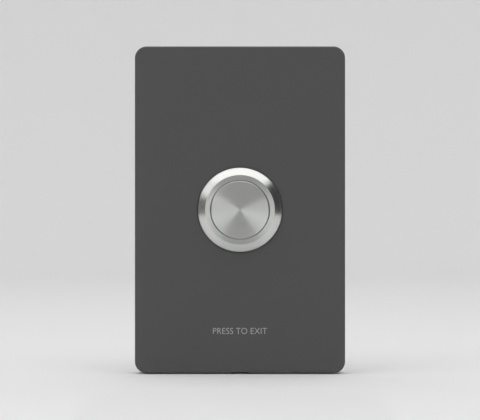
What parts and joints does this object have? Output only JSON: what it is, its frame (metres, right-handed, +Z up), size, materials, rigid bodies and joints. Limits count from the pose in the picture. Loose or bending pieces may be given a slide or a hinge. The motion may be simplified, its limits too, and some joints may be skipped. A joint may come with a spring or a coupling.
{
  "type": "door exit button",
  "caption": "Rectangular wall plate with a round steel push button. The cap presses in 2 mm, springs back and works a changeover contact behind the plate.",
  "frame": {"origin": "on the button's axis in the plane of the wall, midway between the two fixing screws", "axes": "+Z up the long side of the plate, -Y out of the wall towards the person, +X to the right seen from the front"},
  "size_m": [0.074, 0.0352, 0.115],
  "materials": {
    "charcoal_plastic": "moulded, fine matt texture",
    "grid_plastic": "moulded, satin",
    "stainless_steel": "turned, brushed in circles",
    "black_plastic": "moulded, satin",
    "white_plastic": "moulded, smooth",
    "rubber": "matt",
    "zinc_steel": "zinc plated",
    "spring_steel": "drawn wire",
    "brass": "stamped strip"
  },
  "bodies": {
    "plate": {"cover_plate": "charcoal_plastic", "mounting_grid": "grid_plastic", "fixing_screw_upper": "zinc_steel", "fixing_screw_lower": "zinc_steel", "button_housing": "stainless_steel", "flange_gasket": "rubber", "lock_washer": "zinc_steel", "lock_nut": "zinc_steel", "switch_body": "black_plastic", "return_spring": "spring_steel", "terminal_base": "black_plastic", "terminal_common": "brass", "terminal_open": "brass", "terminal_closed": "brass", "terminal_screw_common": "zinc_steel", "terminal_screw_open": "zinc_steel", "terminal_screw_closed": "zinc_steel", "base_screw_upper": "zinc_steel", "base_screw_lower": "zinc_steel"},
    "button": {"push_cap": "stainless_steel", "cap_seal": "rubber", "plunger": "white_plastic", "moving_contact": "brass"}
  },
  "joints": [
    {"name": "button_press", "type": "slide", "parent": "plate", "child": "button", "axis": [0, 1, 0], "range_m": [0, 0.002], "stiffness_N_per_m": 1250, "springref_m": -0.002, "deforming": ["return_spring"]}
  ]
}
